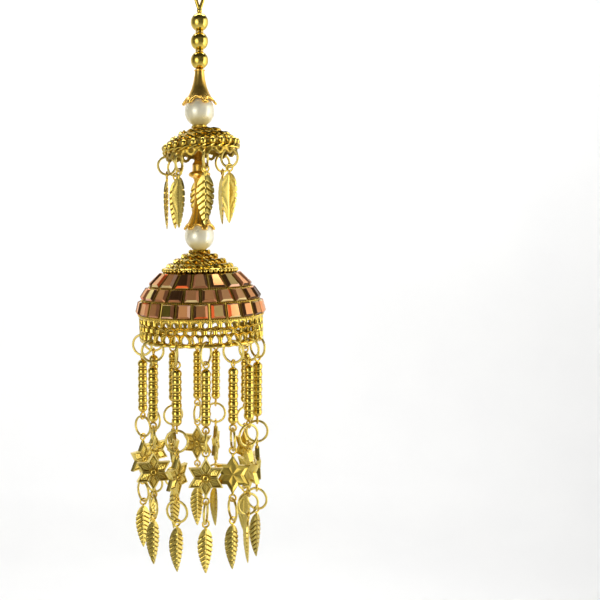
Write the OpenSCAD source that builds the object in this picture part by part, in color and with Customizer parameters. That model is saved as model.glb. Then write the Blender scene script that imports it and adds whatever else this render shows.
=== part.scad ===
// Kalire, the umbrella-shaped ornament that hangs from a bride's bangle.
// A wire with a teardrop loop carries beads, two pearls, a small dome with leaves
// and a large mirrored dome, from whose pierced rim twelve strands of charms hang.
// Origin: where the loop hangs, at the top of its inside. +Z is up, the front faces -Y.
// Heights are given as drops, in mm below the top of the first gold bead.

/* [Hanging wire] */
// Thickness of the wire that threads the stem
wire_d = 1.2; // [1:0.05:1.3]
// Width of the teardrop loop between its centre lines
loop_w = 7.2; // [6.4:0.2:9]
// Slant of the loop's straight limbs, in degrees
loop_slant = 18; // [15:1:24]

/* [Stem] */
// Diameter of the three round gold beads
bead_d = 5.8; // [5.4:0.05:5.9]
// Diameter of the two pearls
pearl_d = 9.9; // [9:0.1:10]
// Length of each trumpet cap
cone_l = 11.2; // [10.8:0.1:11.4]
// Radius of the upper trumpet cap at its petals
cone_r = 5.6; // [5.4:0.1:6]
// Radius of the lower trumpet cap at its petals
low_cone_r = 5.1; // [5:0.1:5.6]
// Petals round a trumpet cap
petals = 6; // [5:1:8]

/* [Small dome] */
// Radius of the small dome at its beaded edge
small_r = 12.1; // [11.6:0.1:12.6]
// How far the small dome hangs askew, in degrees
small_tilt = 5.5; // [0:0.5:6]
// Notches round the small dome's skirt
skirt_notches = 16; // [12:1:20]

/* [Large dome] */
// How far the large dome hangs askew, in degrees
large_tilt = 1.2; // [0:0.2:2]
// Clear gap between neighbouring mirror stones
stone_gap = 0.35; // [0.2:0.05:0.8]
// Thickness of a mirror stone
stone_t = 1.2; // [0.8:0.1:1.4]
// Radius of the gallery's outer face
gallery_r = 20.4; // [20.2:0.1:20.6]

/* [Strands] */
// Thickness of the jump rings' wire
ring_wire = 0.8; // [0.7:0.05:0.85]
// Width of a strand's jump rings between wire centres
ring_w = 6.9; // [6.6:0.1:7.2]
// Diameter of the beads along a bar
bar_bead_d = 3.25; // [3:0.05:3.5]
// Beads along a bar
bar_beads = 7; // [6:1:7]
// Distance from a star's centre to its points
star_r = 6.3; // [5.6:0.1:6.4]
// Length of a strand's leaf, without its eye
leaf_l = 14.7; // [12:0.1:16]
// Length of a small dome's leaf, without its eye
dome_leaf_l = 16.2; // [13:0.1:17]
// Width of a leaf, for each mm of its length
leaf_ratio = 0.355; // [0.3:0.005:0.36]

/* [Hidden] */

$fn = 48;
GOLD = "gold";
DARK_GOLD = "goldenrod";
PEARL = "ivory";
MIRROR = "peru";

// Running gap between neighbours on the wire, and the bore that clears the wire
seat = 0.15;
bore_r = wire_d / 2 + 0.2;
wall = 0.8;

// Hanging loop: an arc joined to two slanting limbs that meet at the first bead. A limb is
// a touch thinner than the arc and runs a little way into it.
loop_r = loop_w / 2;
loop_centre = wire_d / 2 - loop_r;
loop_apex = loop_centre - loop_r / sin(loop_slant);
limb_r = wire_d / 2 - 0.02;
limb_lap = 0.3;
knot_r = wire_d / 2 + 0.3;
bead_top = loop_apex - 0.7;
shank_end = 84.6;
stop_r = 1.7;

// Drops of the stem's pieces
bead_r = bead_d / 2;
bead_pitch = bead_d + 0.25;
bead_drop = [bead_r, bead_r + bead_pitch, bead_r + 2 * bead_pitch];
bead_flat = sqrt(bead_r * bead_r - bore_r * bore_r);
pearl_r = pearl_d / 2;
pearl_nest = 2.15;
cup_gap = 0.15;
cup_r = 2.5;
cup_seat = sqrt(pow(pearl_r + cup_gap, 2) - cup_r * cup_r);
cone_drop_1 = bead_drop[2] + bead_flat + seat;
pearl_drop_1 = cone_drop_1 + cone_l + pearl_nest;
cup_low = pearl_drop_1 + pearl_r + 1.25;
small_drop = cup_low + 0.45;
tube_top = small_drop + 1.7;
tube_flange = small_drop + 13.9;
cone_drop_2 = small_drop + 20.6;
pearl_drop_2 = cone_drop_2 + cone_l + pearl_nest;
cap_drop = pearl_drop_2 + 4.2;

// Trumpet cap: the radius grows slowly, then flares like a horn
cone_steps = 18;
function cone_out(u, mouth) = 1.5 + u + (mouth - 2.5) * pow(u, 2.6);
petal_turn = -9;
petal_tip = 0.6;
arch_drop = 0.5;

// Small dome: outer line from its crown to its skirt as [radius, drop below the crown]
small_line = [[0.9, 0], [2.2, 0.1], [4, 0.7], [6.4, 1.6], [9, 2.9], [11, 4], [small_r - 0.2, 4.6],
    [small_r - 0.2, 8.3]];
small_ropes = [[4.2, 0.7], [7, 1.8], [9.7, 3.1]];
skirt_hole_drop = 6.75;
notch_drop = 8.6;
skirt_hole_r = 0.95;
skirt_mid = small_r - 0.6;
notch_r = 1.25;
notch_start = 6;
notch_step = 360 / skirt_notches;

// Large dome: the bands that the mirror stones lie on, as [radius, drop]
large_pivot = cap_drop + 0.4;
cap_line = [[2.9, cap_drop], [3.5, cap_drop + 0.9], [5.3, cap_drop + 1.4], [6.7, cap_drop + 2.2],
    [7.3, cap_drop + 3], [8.7, cap_drop + 3.8], [9.8, cap_drop + 4.9], [11.4, cap_drop + 5.9],
    [12.2, cap_drop + 6.9]];
cap_ropes = [[6.9, cap_drop + 2.6], [9.5, cap_drop + 4.6]];
cap_ring = [11.9, cap_drop + 7];
shell_line = [[0.9, cap_drop + 5.9], [9.6, cap_drop + 7.3], [12.2, cap_drop + 8.4],
    [16.65, cap_drop + 12.8], [19.33, cap_drop + 16.9], [20.6, cap_drop + 21.7]];
row_first = 2;
row_counts = [18, 22, 24];
stone_lift = 0.2;
stone_margin = 0.25;
stone_corner = 0.55;
stone_bevel = 0.85;
girdle_t = 0.55;

// Gallery: three rows of holes between a top band and a round bottom rim
gallery_drop = cap_drop + 21.8;
gallery_wall = 0.8;
holes_per_row = 40;
hole_w = 2.6;
hole_h = 2.3;
hole_shoulder = 0.55;
row_pitch = 2.15;
first_row = gallery_drop + 0.6 + hole_h / 2;
arch_foot = 1.5;
rim_tube = 0.62;
rim_hole_low = first_row + 2 * row_pitch + arch_foot;
rim_drop = rim_hole_low + rim_tube + 0.04;
hole_start = 3.5;
hole_step = 360 / holes_per_row;
rim_mid = gallery_r - gallery_wall / 2;

// Eyes, rings and the play between them
eye_r = 1.05;
eye_tube = 0.32;
wire_r = ring_wire / 2;
play = 0.12;
hang_play = 0.2;
link_drop = wire_r + eye_tube + play;
drop_ring_w = 5.8;
bar_pitch = 2.5;
bar_l = bar_bead_d + (bar_beads - 1) * bar_pitch + 2.4;
star_eye = star_r + 1.4;
star_t = 1.3;
leaf_neck = 1.5;

// One row for each strand: the hole that it hangs from, its slide along that hole,
// and the way its rim ring, star and leaf face, in degrees from the front
STRAND_HOLE = 0;
STRAND_SLIDE = 1;
STRAND_RING = 2;
STRAND_STAR = 3;
STRAND_LEAF = 4;
strand_table = [
    [0, 0.5, -32, 0, -20],
    [3, -0.6, 30, 8, 30],
    [5, 1, 10, 120, 100],
    [7, 0, -30, 92, 40],
    [14, -0.9, 20, 120, 150],
    [18, -0.9, -20, 80, 120],
    [-20, 0.4, 30, -20, 20],
    [-17, 0, -20, -70, -40],
    [-14, -0.8, 22, 40, 75],
    [-11, 0.9, -15, 50, 20],
    [-6, -0.5, -30, 12, 35],
    [-3, 0.8, 22, 88, 50]
];

// One row for each leaf of the small dome: the hole in the skirt that it hangs from,
// and the way its ring and leaf face
DROP_HOLE = 0;
DROP_RING = 1;
DROP_LEAF = 2;
drop_table = [
    [0, 75, -5],
    [2, -28, 45],
    [6, 35, 105],
    [-8, 82, -10],
    [-6, -30, 55],
    [-4, 8, 85],
    [-2, 70, -12]
];

// Z of a drop, and a point of a tilted dome as it stands in the frame
function z_of(drop) = bead_top - drop;
function tilted(p, pivot, angle) =
    [p[0] * cos(angle) - (p[2] - z_of(pivot)) * sin(angle),
     p[1],
     z_of(pivot) + p[0] * sin(angle) + (p[2] - z_of(pivot)) * cos(angle)];
function around(r, azimuth, z) = [r * sin(azimuth), -r * cos(azimuth), z];

module lay(p, pivot) {
    translate([0, 0, z_of(pivot)])
        rotate([0, -p, 0])
            translate([0, 0, -z_of(pivot)])
                children();
}

// A turned shell: a line of [radius, drop] points, and the same line set in by the wall,
// which ends level with it
module turned_shell(line, drop, inset, fall) {
    end = line[len(line) - 1][1];
    inner = [for (i = [len(line) - 1:-1:0])
        [max(line[i][0] - inset, bore_r), min(line[i][1] + fall, end)]];
    rotate_extrude()
        polygon([for (p = concat(line, inner)) [p[0], z_of(drop + p[1])]]);
}

module ring(centre_r, tube_r, drop) {
    translate([0, 0, z_of(drop)])
        rotate_extrude()
            translate([centre_r, 0])
                circle(tube_r, $fn = 24);
}

// An upright ring whose face looks along -Y
module upright_ring(centre_r, tube_r) {
    rotate([90, 0, 0])
        rotate_extrude()
            translate([centre_r, 0])
                circle(tube_r, $fn = 16);
}

module drilled_ball(r, drop) {
    translate([0, 0, z_of(drop)])
        difference() {
            sphere(r);
            cylinder(h = 3 * r, r = bore_r, center = true);
        }
}

module hanging_wire() {
    limb_l = loop_r / tan(loop_slant);
    color(GOLD) {
        translate([0, 0, loop_centre])
            rotate([90, 0, 0])
                rotate([0, 0, -loop_slant])
                    rotate_extrude(angle = 180 + 2 * loop_slant)
                        translate([loop_r, 0])
                            circle(wire_d / 2, $fn = 24);
        for (side = [-1, 1])
            translate([0, 0, loop_apex])
                rotate([0, side * loop_slant, 0])
                    cylinder(h = limb_l + limb_lap, r = limb_r);
        translate([0, 0, loop_apex])
            sphere(knot_r);
        translate([0, 0, z_of(shank_end)])
            cylinder(h = loop_apex - z_of(shank_end), r = wire_d / 2);
        translate([0, 0, z_of(shank_end)])
            sphere(stop_r);
    }
}

module gold_bead(n) {
    color(GOLD) drilled_ball(bead_r, bead_drop[n]);
}

module spacer(n) {
    color(DARK_GOLD) ring(1.2, 0.2, (bead_drop[n] + bead_drop[n + 1]) / 2);
}

// The cap's lower edge is cut by round arches, which leave a petal tip between each two
module trumpet_cap(drop, mouth) {
    line = [for (i = [0:cone_steps]) [cone_out(i / cone_steps, mouth), cone_l * i / cone_steps]];
    color(GOLD)
        difference() {
            turned_shell(line, drop, 0.65, 0);
            for (i = [0:petals - 1])
                rotate([0, 0, petal_turn + i * 360 / petals])
                    translate([0, 0, z_of(drop + cone_l + arch_drop)])
                        rotate([90, 0, 0])
                            cylinder(h = mouth + 1, r = mouth * sin(180 / petals) - petal_tip, $fn = 32);
        }
}

module pearl(drop) {
    color(PEARL) drilled_ball(pearl_r, drop);
}

// A small cup between the first pearl and the small dome
module pearl_cup() {
    color(GOLD)
        difference() {
            translate([0, 0, z_of(cup_low)])
                cylinder(h = cup_low - pearl_drop_1 - cup_seat, r = cup_r);
            translate([0, 0, z_of(pearl_drop_1)])
                sphere(pearl_r + cup_gap);
            translate([0, 0, z_of(cup_low + 1)])
                cylinder(h = 4, r = bore_r);
        }
}

// A round cut through the small dome's skirt, counted in notches from the first hole
module skirt_cut(place, drop, r) {
    rotate([0, 0, notch_start + place * notch_step])
        translate([0, 3 - small_r, z_of(small_drop + drop)])
            rotate([90, 0, 0])
                cylinder(h = 5, r = r, $fn = 24);
}

module small_dome() {
    color(GOLD)
        lay(small_tilt, small_drop)
            difference() {
                union() {
                    turned_shell(small_line, small_drop, wall, wall);
                    for (rope = small_ropes)
                        ring(rope[0], 0.45, small_drop + rope[1]);
                    ring(small_r, 0.85, small_drop + 4.5);
                    ring(small_r - 0.2, 0.4, small_drop + 5.6);
                }
                for (i = [0:skirt_notches - 1])
                    skirt_cut(i + 0.5, notch_drop, notch_r);
                for (leaf = drop_table)
                    skirt_cut(leaf[DROP_HOLE], skirt_hole_drop, skirt_hole_r);
            }
}

// The stem below the small dome: a tube with a flange, then a narrow neck
module stem_tube() {
    line = [[0.85, tube_top], [2.1, tube_top], [2.5, tube_top + 0.6], [2.5, tube_flange - 1],
        [3.5, tube_flange - 0.3], [3.6, tube_flange], [3.3, tube_flange + 0.4],
        [1.9, tube_flange + 1], [1.6, cone_drop_2 - seat], [0.85, cone_drop_2 - seat]];
    color(DARK_GOLD)
        rotate_extrude()
            polygon([for (p = line) [p[0], z_of(p[1])]]);
}

module dome_cap() {
    color(GOLD)
        lay(large_tilt, large_pivot)
            difference() {
                union() {
                    turned_shell(cap_line, 0, wall, wall + 0.2);
                    for (rope = cap_ropes)
                        ring(rope[0], 0.5, rope[1]);
                    ring(cap_ring[0], 0.8, cap_ring[1]);
                }
                translate([0, 0, z_of(pearl_drop_2)])
                    sphere(pearl_r + 0.25);
            }
}

module dome_shell() {
    color(DARK_GOLD)
        lay(large_tilt, large_pivot)
            turned_shell(shell_line, 0, wall, wall);
}

// A bevelled stone, wider at its foot: eight girdle sides, eight bevels and a table.
// It lies on z = 0 with its foot towards -Y.
module mirror_stone(top_w, foot_w, h) {
    t = top_w / 2;
    f = foot_w / 2;
    y = h / 2;
    c = stone_corner;
    b = stone_bevel;
    girdle = [[-f + c, -y], [f - c, -y], [f, -y + c], [t, y - c], [t - c, y], [-t + c, y],
        [-t, y - c], [-f, -y + c]];
    table = [[-f + c + b, -y + b], [f - c - b, -y + b], [f - b, -y + c + b], [t - b, y - c - b],
        [t - c - b, y - b], [-t + c + b, y - b], [-t + b, y - c - b], [-f + b, -y + c + b]];
    points = concat([for (p = girdle) [p[0], p[1], 0]], [for (p = girdle) [p[0], p[1], girdle_t]],
        [for (p = table) [p[0], p[1], stone_t]]);
    sides = [for (k = [0:1]) for (i = [0:7])
        [8 * k + i, 8 * k + 8 + i, 8 * k + 8 + (i + 1) % 8, 8 * k + (i + 1) % 8]];
    polyhedron(points, concat([[for (i = [0:7]) i]], sides, [[for (i = [7:-1:0]) 16 + i]]));
}

module mirror_row(n) {
    upper = shell_line[row_first + n];
    lower = shell_line[row_first + n + 1];
    span = norm(lower - upper);
    slope = atan2(lower[1] - upper[1], lower[0] - upper[0]);
    count = row_counts[n];
    side = 2 * tan(180 / count);
    grow = (stone_margin + stone_lift) * cos(slope);
    r_top = upper[0] + grow;
    r_foot = lower[0] - stone_margin * cos(slope);
    r_mid = (upper[0] + lower[0]) / 2 + stone_lift * sin(slope);
    drop_mid = (upper[1] + lower[1]) / 2 - stone_lift * cos(slope);
    color(MIRROR)
        lay(large_tilt, large_pivot)
            for (i = [0:count - 1])
                rotate([0, 0, (i + 0.5 * n) * 360 / count])
                    translate([0, -r_mid, z_of(drop_mid)])
                        rotate([slope, 0, 0])
                            mirror_stone(r_top * side - stone_gap, r_foot * side - stone_gap,
                                span - 2 * stone_margin);
}

// One hole of the gallery: a squat hexagon, or an arch on a flat foot
module hole_shape(arched) {
    w = hole_w / 2;
    h = hole_h / 2;
    s = hole_shoulder;
    if (arched)
        polygon([[0, h], [-w + 0.15, s - 0.1], [-w + 0.2, -arch_foot + 0.3], [-w + 0.5, -arch_foot],
            [w - 0.5, -arch_foot], [w - 0.2, -arch_foot + 0.3], [w - 0.15, s - 0.1]]);
    else
        polygon([[0, h], [-w, s], [-w, -s], [0, -h], [w, -s], [w, s]]);
}

module gallery() {
    color(GOLD)
        lay(large_tilt, large_pivot) {
            difference() {
                translate([0, 0, z_of(rim_drop)])
                    cylinder(h = rim_drop - gallery_drop, r = gallery_r, $fn = 96);
                translate([0, 0, z_of(rim_drop + 1)])
                    cylinder(h = rim_drop - gallery_drop + 2, r = gallery_r - gallery_wall, $fn = 96);
                for (row = [0:2])
                    for (i = [0:holes_per_row - 1])
                        rotate([0, 0, hole_start + (i + 0.5 * (row % 2)) * hole_step])
                            translate([0, 2 - gallery_r, z_of(first_row + row * row_pitch)])
                                rotate([90, 0, 0])
                                    linear_extrude(4)
                                        hole_shape(row == 2);
            }
            ring(rim_mid, rim_tube, rim_drop);
        }
}

// A leaf that hangs from its eye at the origin: creased down its midrib, and pointed
module leaf(l) {
    w = l * leaf_ratio;
    steps = 12;
    // Half width at u of the way down: full near 0.4, drawn out towards the tip
    side = [for (i = [1:steps - 1]) let (u = i / steps)
        [w / 2 * pow(sin(180 * pow(u, 0.8)), 0.75), -leaf_neck - l * u]];
    other = [for (i = [steps - 2:-1:0]) [-side[i][0], side[i][1]]];
    crease = w * 0.12;
    intersection() {
        translate([0, 2, 0])
            rotate([90, 0, 0])
                linear_extrude(4)
                    polygon(concat([[0, -leaf_neck]], side, [[0, -leaf_neck - l]], other));
        translate([0, 0, -leaf_neck - l - 1])
            linear_extrude(l + 2)
                polygon([[-w, 2 * crease + 0.35], [-w, 2 * crease - 0.35], [0, -0.35],
                    [w, 2 * crease - 0.35], [w, 2 * crease + 0.35], [0, 0.35]]);
    }
    upright_ring(eye_r, eye_tube);
    translate([0, 0, -leaf_neck - 1.2])
        cylinder(h = leaf_neck + 1.2 - eye_r, r = 0.42, $fn = 16);
}

// A ring whose wire is held at its top, and the drop from there to the next eye's centre
module held_ring(centre_r, azimuth) {
    translate([0, 0, -centre_r])
        rotate([0, 0, azimuth])
            upright_ring(centre_r, wire_r);
}
function eye_below(centre_r) = 2 * centre_r - link_drop + eye_r;
function ring_below() = eye_r - link_drop;

// A leaf of the small dome on its jump ring
module leaf_drop(n) {
    row = drop_table[n];
    azimuth = notch_start + row[DROP_HOLE] * notch_step;
    hold = around(skirt_mid, azimuth,
        z_of(small_drop + skirt_hole_drop + skirt_hole_r - wire_r - hang_play));
    color(GOLD)
        translate(tilted(hold, small_drop, small_tilt)) {
            held_ring(drop_ring_w / 2, row[DROP_RING]);
            translate([0, 0, -eye_below(drop_ring_w / 2)])
                rotate([0, 0, row[DROP_LEAF]])
                    leaf(dome_leaf_l);
        }
}

// A bar of beads pressed on a pin, with an eye at each end
module beaded_bar(top_azimuth, foot_azimuth) {
    first = 1.2 + bar_bead_d / 2;
    rotate([0, 0, top_azimuth])
        upright_ring(eye_r, eye_tube);
    translate([0, 0, -bar_l])
        rotate([0, 0, foot_azimuth])
            upright_ring(eye_r, eye_tube);
    for (i = [0:bar_beads - 1])
        translate([0, 0, -first - i * bar_pitch])
            sphere(bar_bead_d / 2, $fn = 32);
    for (i = [0:bar_beads - 2])
        translate([0, 0, -first - (i + 0.5) * bar_pitch - 0.2])
            cylinder(h = 0.4, r = 1.3, $fn = 32);
    for (drop = [1.6, bar_l - 0.9])
        translate([0, 0, -drop])
            cylinder(h = 0.7, r = 0.45, $fn = 16);
}

function star_points(tip) = [for (i = [0:11]) let (r = i % 2 == 0 ? tip : tip / sqrt(3))
    [r * sin(30 * i), r * cos(30 * i)]];

// A cast star with an eye at its top and foot, outlined points and a hollow back
module star() {
    rotate([90, 0, 0]) {
        difference() {
            translate([0, 0, -star_t / 2])
                linear_extrude(star_t)
                    polygon(star_points(star_r));
            translate([0, 0, -star_t])
                linear_extrude(star_t / 2 + 0.35)
                    polygon(star_points(star_r - 1.3));
            for (i = [0:5])
                rotate([0, 0, 60 * i])
                    translate([0, 0, star_t / 2 - 0.4])
                        linear_extrude(1)
                            polygon([[0, 5.1], [-1.3, 3.3], [0, 1.9], [1.3, 3.3]]);
        }
        translate([0, 0, star_t / 2])
            rotate_extrude()
                translate([0.9, 0])
                    circle(0.35, $fn = 16);
    }
    for (end = [-1, 1]) {
        translate([0, 0, end * star_eye])
            upright_ring(eye_r, eye_tube);
        translate([0, 0, end * (star_r - 0.35) - 0.55])
            cylinder(h = 1.1, r = 0.45, $fn = 16);
    }
}

// Ring, beaded bar, ring, star, ring and leaf, each through the next one's eye
module strand(n) {
    row = strand_table[n];
    azimuth = hole_start + row[STRAND_HOLE] * hole_step;
    hold = around(rim_mid, azimuth + row[STRAND_SLIDE], z_of(rim_hole_low - wire_r - hang_play));
    ring_azimuth = azimuth + 90 + row[STRAND_RING];
    star_azimuth = row[STRAND_STAR];
    leaf_azimuth = row[STRAND_LEAF];
    bar_top = eye_below(ring_w / 2);
    ring_2 = bar_top + bar_l + ring_below();
    star_centre = ring_2 + eye_below(ring_w / 2) + star_eye;
    ring_3 = star_centre + star_eye + ring_below();
    leaf_top = ring_3 + eye_below(ring_w / 2);
    color(GOLD)
        translate(tilted(hold, large_pivot, large_tilt)) {
            held_ring(ring_w / 2, ring_azimuth);
            translate([0, 0, -bar_top])
                beaded_bar(ring_azimuth + 90, star_azimuth);
            translate([0, 0, -ring_2])
                held_ring(ring_w / 2, star_azimuth + 90);
            translate([0, 0, -star_centre])
                rotate([0, 0, star_azimuth])
                    star();
            translate([0, 0, -ring_3])
                held_ring(ring_w / 2, (star_azimuth + leaf_azimuth) / 2 + 90);
            translate([0, 0, -leaf_top])
                rotate([0, 0, leaf_azimuth])
                    leaf(leaf_l);
        }
}

hanging_wire();
gold_bead(0);  // gold_bead_1
gold_bead(1);  // gold_bead_2
gold_bead(2);  // gold_bead_3
spacer(0);  // spacer_1
spacer(1);  // spacer_2
trumpet_cap(cone_drop_1, cone_r);  // trumpet_cap_1
trumpet_cap(cone_drop_2, low_cone_r);  // trumpet_cap_2
pearl(pearl_drop_1);  // pearl_1
pearl(pearl_drop_2);  // pearl_2
pearl_cup();
small_dome();
stem_tube();
leaf_drop(0);  // leaf_drop_1
leaf_drop(1);  // leaf_drop_2
leaf_drop(2);  // leaf_drop_3
leaf_drop(3);  // leaf_drop_4
leaf_drop(4);  // leaf_drop_5
leaf_drop(5);  // leaf_drop_6
leaf_drop(6);  // leaf_drop_7
dome_cap();
dome_shell();
mirror_row(0);  // mirror_row_1
mirror_row(1);  // mirror_row_2
mirror_row(2);  // mirror_row_3
gallery();
strand(0);  // strand_01
strand(1);  // strand_02
strand(2);  // strand_03
strand(3);  // strand_04
strand(4);  // strand_05
strand(5);  // strand_06
strand(6);  // strand_07
strand(7);  // strand_08
strand(8);  // strand_09
strand(9);  // strand_10
strand(10);  // strand_11
strand(11);  // strand_12
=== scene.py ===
import math

import bmesh
import bpy
import numpy as np
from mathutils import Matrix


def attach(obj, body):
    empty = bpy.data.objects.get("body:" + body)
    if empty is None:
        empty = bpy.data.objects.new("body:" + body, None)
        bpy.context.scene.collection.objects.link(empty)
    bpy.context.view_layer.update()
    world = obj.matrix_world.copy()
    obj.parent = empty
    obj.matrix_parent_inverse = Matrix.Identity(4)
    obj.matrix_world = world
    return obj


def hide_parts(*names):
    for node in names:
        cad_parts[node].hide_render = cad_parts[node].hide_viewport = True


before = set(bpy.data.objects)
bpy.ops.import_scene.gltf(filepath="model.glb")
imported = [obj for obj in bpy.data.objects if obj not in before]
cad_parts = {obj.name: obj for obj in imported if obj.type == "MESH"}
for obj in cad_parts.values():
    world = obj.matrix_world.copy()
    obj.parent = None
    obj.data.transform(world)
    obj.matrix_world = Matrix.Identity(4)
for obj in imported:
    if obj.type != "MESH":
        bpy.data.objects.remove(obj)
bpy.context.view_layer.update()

# A kalire's looks, built round its frame. Sizes are in mm, and heights are drops below
# the top of the first gold bead; the meshes are in metres.
mm = 0.001
beadTop = -15.35
mergeWithin = 2e-7      # metres: points nearer than this become one
wireSides = 10          # sides of a plain wire's section
chance = np.random.default_rng(11)


# Surfaces: a part is (points, quads, groove). Groove runs from 0 to 1 where shade is painted,
# in the hollows, creases and shaded faces, and below 0 it marks the paler metal of the jump
# rings, leaves and stars; on the pearls it is their painted reflection of the gold below.
def grid(points, wrap=False, groove=0.0):
    # neighbours of points[i, j] joined as quads; each row closes on itself, and wrap joins the
    # last row to the first
    nu, nv = points.shape[:2]
    index = np.arange(nu * nv).reshape(nu, nv)
    below = np.roll(index, -1, 0)
    quads = np.stack([index, below, np.roll(below, -1, 1), np.roll(index, -1, 1)], -1)
    quads = quads[:nu if wrap else nu - 1]
    groove = np.broadcast_to(groove, (nu, nv))
    return points.reshape(-1, 3), quads.reshape(-1, 4), groove.reshape(-1)


def join(parts):
    starts = np.cumsum([0] + [len(p[0]) for p in parts[:-1]])
    return (np.concatenate([p[0] for p in parts]),
            np.concatenate([p[1] + s for p, s in zip(parts, starts)]),
            np.concatenate([p[2] for p in parts]))


def spin(points, azimuth):
    # turned about z: the front, at -y, goes to the azimuth
    a = np.radians(azimuth)
    x, y, z = points[..., 0], points[..., 1], points[..., 2]
    return np.stack([x * np.cos(a) - y * np.sin(a), x * np.sin(a) + y * np.cos(a), z], -1)


def place(part, azimuth=0.0, at=(0, 0, 0)):
    return spin(part[0], azimuth) + np.asarray(at, float), part[1], part[2]


# paints at least this much shade over the whole part, and makes it duller
def shadedAndDulled(part, amount):
    return part[0], part[1], np.maximum(part[2], amount)


def around(part, azimuths):
    return join([place(part, a) for a in azimuths])


def steps(count, start=0.0):
    return start + np.arange(count) * 360 / count


def circle(count):
    return np.linspace(0, 2 * np.pi, count, endpoint=False)


def polar(radius, a, z):
    # the point at a radius and an angle from the front: (r sin a, -r cos a, z)
    return np.stack([radius * np.sin(a), -radius * np.cos(a), z + 0 * a], -1)


def zOf(drop):
    return beadTop - np.asarray(drop, float)


def lowered(line, top):
    return [[r, top + drop] for r, drop in line]


def tipped(points, pivot, angle):
    # turned about the y axis through the pivot, right side up
    a, zp = math.radians(angle), zOf(pivot)
    x, z = points[..., 0], points[..., 2] - zp
    return np.stack([x * math.cos(a) - z * math.sin(a), points[..., 1],
                     zp + x * math.sin(a) + z * math.cos(a)], -1)


def lean(part, pivot, angle):
    return tipped(part[0], pivot, angle), part[1], part[2]


def unit(v):
    return v / np.maximum(np.linalg.norm(v, axis=-1, keepdims=True), 1e-12)


def soften(line, each):
    # Catmull-Rom curve through the line's points
    p = np.asarray(line, float)
    p = np.concatenate([[2 * p[0] - p[1]], p, [2 * p[-1] - p[-2]]])
    t = np.linspace(0, 1, each, endpoint=False)[None, :, None]
    a, b, c, d = (p[i:len(p) - 3 + i, None] for i in range(4))
    curve = 0.5 * (2 * b + (c - a) * t + (2 * a - 5 * b + 4 * c - d) * t**2
                   + (3 * b - a - 3 * c + d) * t**3)
    return np.concatenate([curve.reshape(-1, p.shape[1]), p[-2:-1]])


def lathe(line, sides, wrap=True, groove=0.0):
    # [radius, z] points swept round the axis: (r sin a, -r cos a, z), with one groove value or
    # one for each point
    line = np.asarray(line, float)
    if np.ndim(groove) == 1:
        groove = groove[:, None]
    return grid(polar(line[:, :1], circle(sides), line[:, 1:]), wrap, groove)


def turned(line, sides, groove=0.0):
    # the same from [radius, drop] points
    line = np.asarray(line, float)
    return lathe(np.stack([line[:, 0], zOf(line[:, 1])], -1), sides, True, groove)


def tube(path, radius, sides, wrap, guide):
    # a circle carried along the path: centre + radius (cos b side + sin b up); open ends close
    # to a point
    path = np.asarray(path, float)
    way = np.roll(path, -1, 0) - np.roll(path, 1, 0) if wrap else np.gradient(path, axis=0)
    tangent = unit(way)
    side = unit(np.cross(tangent, np.broadcast_to(np.asarray(guide, float), path.shape)))
    up = np.cross(side, tangent)
    b = circle(sides)[None, :, None]
    radius = np.broadcast_to(np.asarray(radius, float), (len(path),))[:, None, None]
    points = path[:, None] + radius * (np.cos(b) * side[:, None] + np.sin(b) * up[:, None])
    if not wrap:
        points = np.concatenate([0 * points[:1] + path[0], points, 0 * points[:1] + path[-1]])
    return grid(points, wrap)


def post(heights, radii):
    # a short upright peg on the axis
    return tube([[0, 0, z] for z in heights], radii, 12, False, (0, 1, 0))


# A jump ring's saw cut: radians from its middle to its edge, its floor and the point between
# them, and the share of the wire that is left
sawCut = dict(edge=0.03, floor=0.012, between=0.02, left=0.62)


def hoop(radius, wire, sides, cut=None):
    # an upright ring facing -y, centred on the origin; cut is the angle of its saw cut
    t = circle(sides)
    thick = np.full(sides, wire)
    if cut is not None:
        s, middle = sawCut, math.radians(cut)
        marks = middle + np.array([-s["edge"], -s["floor"], s["floor"], s["edge"]])
        t = np.sort(np.concatenate([t, marks]) % (2 * np.pi))
        off = np.abs((t - middle + np.pi) % (2 * np.pi) - np.pi)
        thick = np.where(off < s["between"], s["left"] * wire, wire)
    path = np.stack([radius * np.sin(t), 0 * t, radius * np.cos(t)], -1)
    return tube(path, thick, wireSides, True, (0, 1, 0))


def band(radius, drop, wire, sides, section=wireSides):
    # a level ring round the axis
    return tube(polar(radius, circle(sides), zOf(drop)), wire, section, True, (0, 0, 1))


def rope(radius, drop, wire, turns, perTurn=9, spread=0.92, sides=7):
    # two wires wound round a circle: its point + spread wire (cos q outwards, sin q up), where
    # q = turns a + pi k
    a = circle(abs(turns) * perTurn)
    parts = []
    for k in (0, 1):
        q = turns * a + np.pi * k
        path = polar(radius + spread * wire * np.cos(q), a, zOf(drop) + spread * wire * np.sin(q))
        parts.append(tube(path, wire, sides, True, (0, 0, 1)))
    return join(parts)


def ropes(top, rows):
    # each row: radius, drop, wire, turns, points a turn, spread, sides, and its own turn
    return [place(rope(r, top + drop, *how), turn) for r, drop, *how, turn in rows]


def ball(size, at, rows=9, sides=14):
    # an ellipsoid: half widths times (sin t sin b, -sin t cos b, cos t)
    t, b = np.linspace(0, np.pi, rows)[:, None], circle(sides)
    points = np.stack([size[0] * np.sin(t) * np.sin(b), -size[1] * np.sin(t) * np.cos(b),
                       size[2] * np.cos(t) + 0 * b], -1)
    return grid(points + np.asarray(at, float))


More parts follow.
